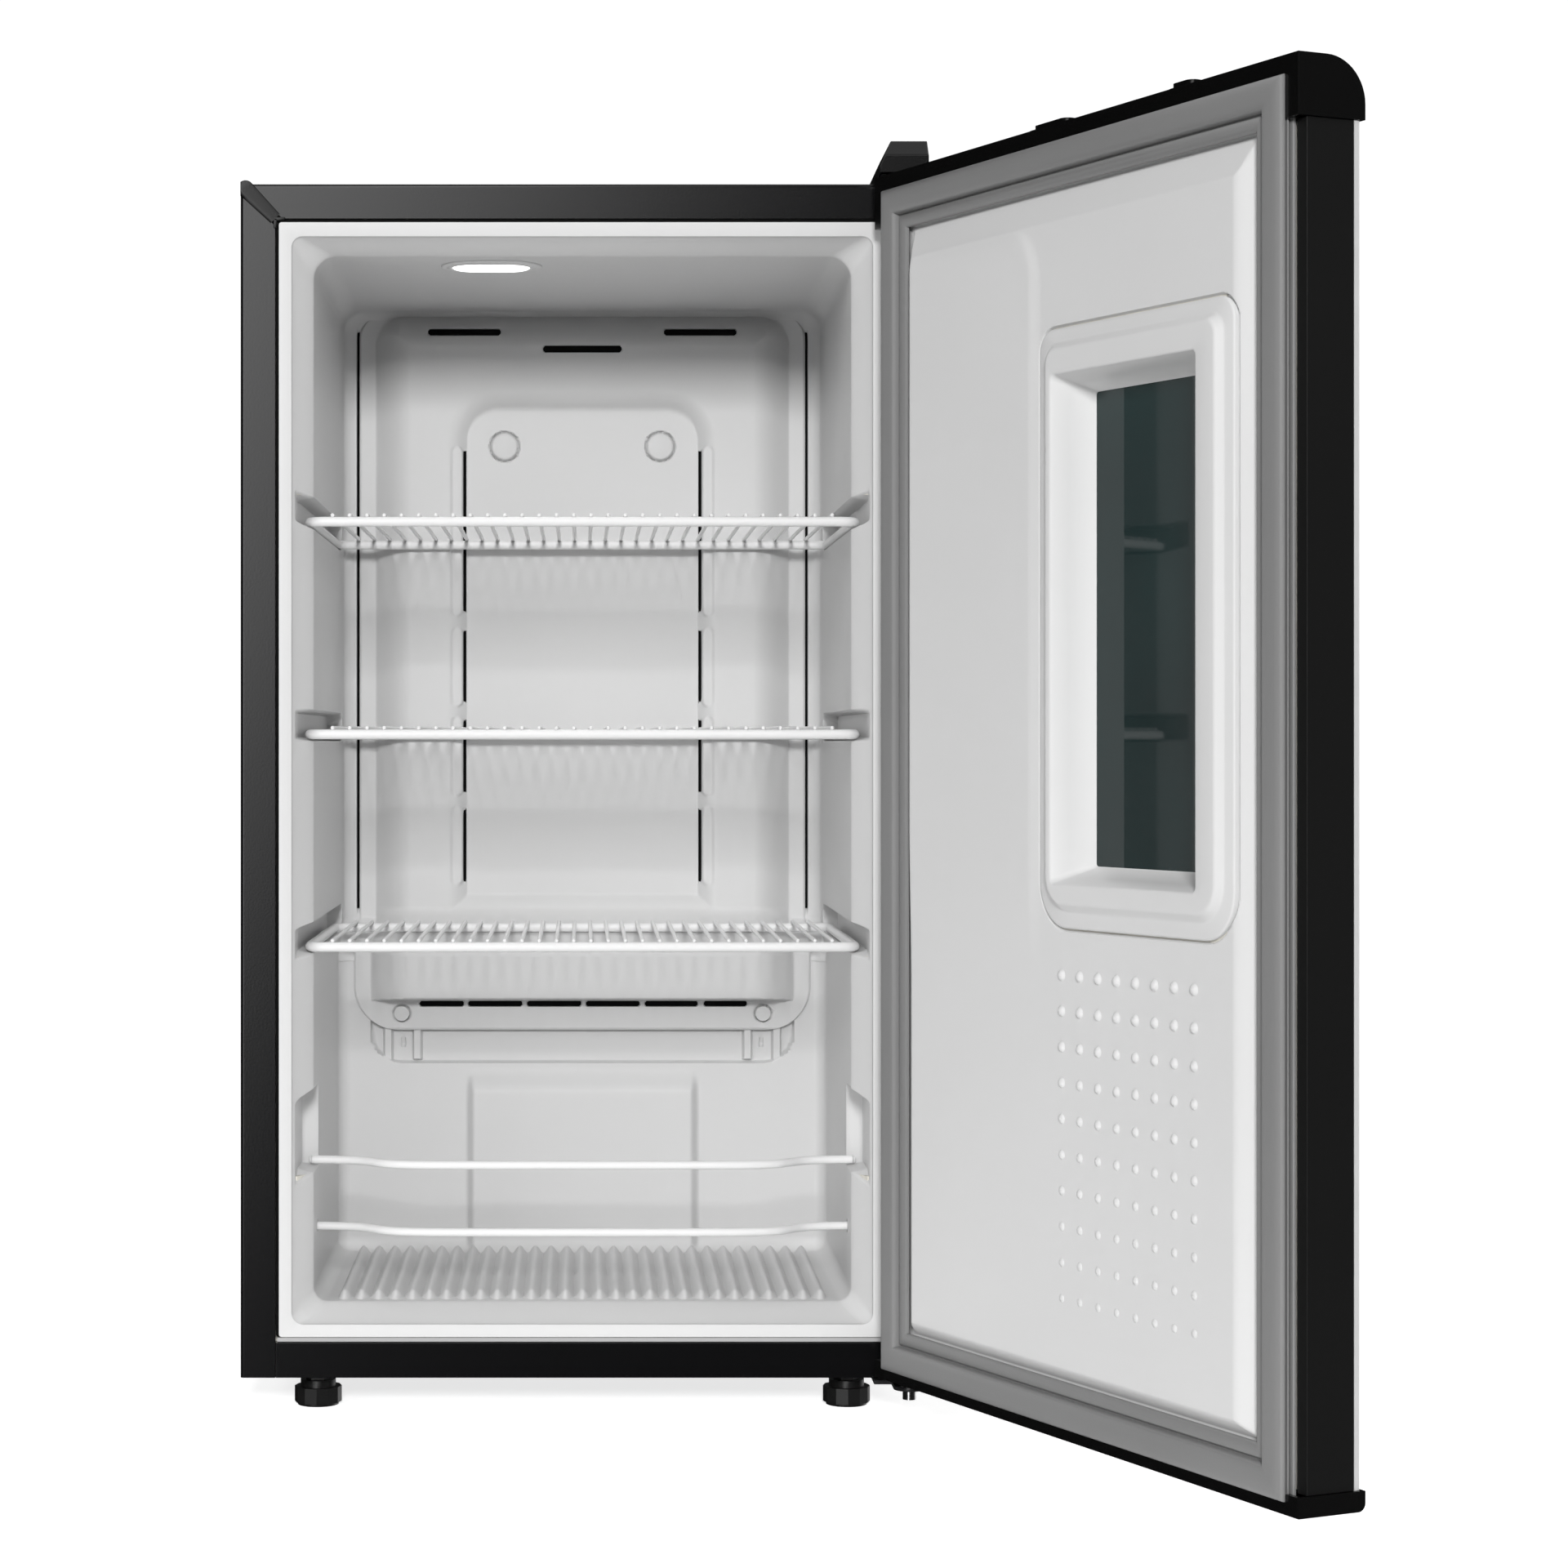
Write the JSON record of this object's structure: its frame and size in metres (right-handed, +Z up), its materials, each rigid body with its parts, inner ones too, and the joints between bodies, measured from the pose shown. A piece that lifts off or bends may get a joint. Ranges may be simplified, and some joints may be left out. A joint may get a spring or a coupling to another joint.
{
  "type": "mini fridge",
  "caption": "Black undercounter mini fridge with its windowed door swung open, a moulded white interior, sliding wire shelves and bowed bottle guards.",
  "frame": {"origin": "on the floor, on the cabinet's centre line, level with its front face", "axes": "+Z up, +Y from the door side towards the rear, +X towards the hinge side"},
  "size_m": [0.6888, 0.9256, 0.888],
  "materials": {
    "cabinet_paint": "satin",
    "zinc_sheet": "satin",
    "grey_plastic": "satin",
    "foam": "matte",
    "liner_white": "satin",
    "door_white": "satin",
    "bright_screw": "satin",
    "aluminium": "satin",
    "black_plastic": "satin",
    "dark_metal": "satin",
    "board": "satin",
    "lens": "satin",
    "shelf_coat": "satin",
    "rubber": "matte",
    "copper": "satin",
    "foot_black": "satin",
    "cap_black": "satin",
    "side_black": "matte",
    "door_silver": "satin",
    "smoked_glass": "gloss",
    "gasket_grey": "matte"
  },
  "bodies": {
    "cabinet": {"left_panel": "cabinet_paint", "right_panel": "cabinet_paint", "top_panel": "cabinet_paint", "corner_trims": "cap_black", "back_panel": "zinc_sheet", "base_pan": "zinc_sheet", "front_rail": "cabinet_paint", "sill_strip": "grey_plastic", "cabinet_foam": "foam", "inner_liner": "liner_white", "evaporator_cover": "liner_white", "cover_screws": "bright_screw", "cover_caps": "liner_white", "evaporator_fins": "aluminium", "evaporator_tube": "aluminium", "fan_frame": "black_plastic", "fan_motor": "dark_metal", "lamp_base": "door_white", "lamp_board": "board", "lamp_lens": "lens", "guard_lower": "shelf_coat", "drain_tube": "grey_plastic", "drip_tray": "black_plastic", "compressor": "dark_metal", "compressor_plate": "zinc_sheet", "compressor_grommets": "rubber", "relay_cover": "black_plastic", "filter_drier": "copper", "refrigerant_pipe": "copper", "condenser": "dark_metal", "control_box": "grey_plastic", "mains_gland": "black_plastic", "rear_feet": "foot_black", "hinge_lower": "dark_metal", "hinge_lower_pin": "bright_screw", "hinge_upper": "zinc_sheet", "hinge_cover": "cap_black", "hinge_screws": "bright_screw"},
    "door": {"door_skin": "door_silver", "door_side_free": "side_black", "door_side_hinge": "side_black", "door_top_cap": "cap_black", "door_low_cap": "cap_black", "door_foam": "foam", "door_liner": "door_white", "window_bezel": "door_white", "window_trim": "cap_black", "glass_inner": "smoked_glass", "glass_outer": "smoked_glass", "glass_spacer": "aluminium", "door_gasket": "gasket_grey", "hinge_bushes": "door_white", "cap_plugs": "cap_black"},
    "upper_shelf": {"shelf_upper": "shelf_coat"},
    "middle_shelf": {"shelf_middle": "shelf_coat"},
    "lower_shelf": {"shelf_lower": "shelf_coat"},
    "upper_guard": {"guard_upper": "shelf_coat"},
    "fan": {"fan_blades": "black_plastic"},
    "left_foot": {"foot_left": "foot_black"},
    "right_foot": {"foot_right": "foot_black"}
  },
  "joints": [
    {"name": "door_swing", "type": "hinge", "parent": "cabinet", "child": "door", "pos_m": [0.227, -0.025, 0.45], "axis": [0, 0, 1], "range_deg": [-115, 5]},
    {"name": "upper_shelf_slide", "type": "slide", "parent": "cabinet", "child": "upper_shelf", "axis": [0, -1, 0], "range_m": [0, 0.25]},
    {"name": "middle_shelf_slide", "type": "slide", "parent": "cabinet", "child": "middle_shelf", "axis": [0, -1, 0], "range_m": [0, 0.25]},
    {"name": "lower_shelf_slide", "type": "slide", "parent": "cabinet", "child": "lower_shelf", "axis": [0, -1, 0], "range_m": [0, 0.22]},
    {"name": "upper_guard_lift", "type": "slide", "parent": "cabinet", "child": "upper_guard", "axis": [0, 0, 1], "range_m": [0, 0.045]},
    {"name": "fan_spin", "type": "hinge", "parent": "cabinet", "child": "fan", "pos_m": [0, 0.371, 0.69], "axis": [0, 1, 0], "continuous": true},
    {"name": "left_foot_turn", "type": "hinge", "parent": "cabinet", "child": "left_foot", "pos_m": [-0.188, 0.035, 0.01], "axis": [0, 0, 1], "continuous": true},
    {"name": "right_foot_turn", "type": "hinge", "parent": "cabinet", "child": "right_foot", "pos_m": [0.188, 0.035, 0.01], "axis": [0, 0, 1], "continuous": true}
  ]
}
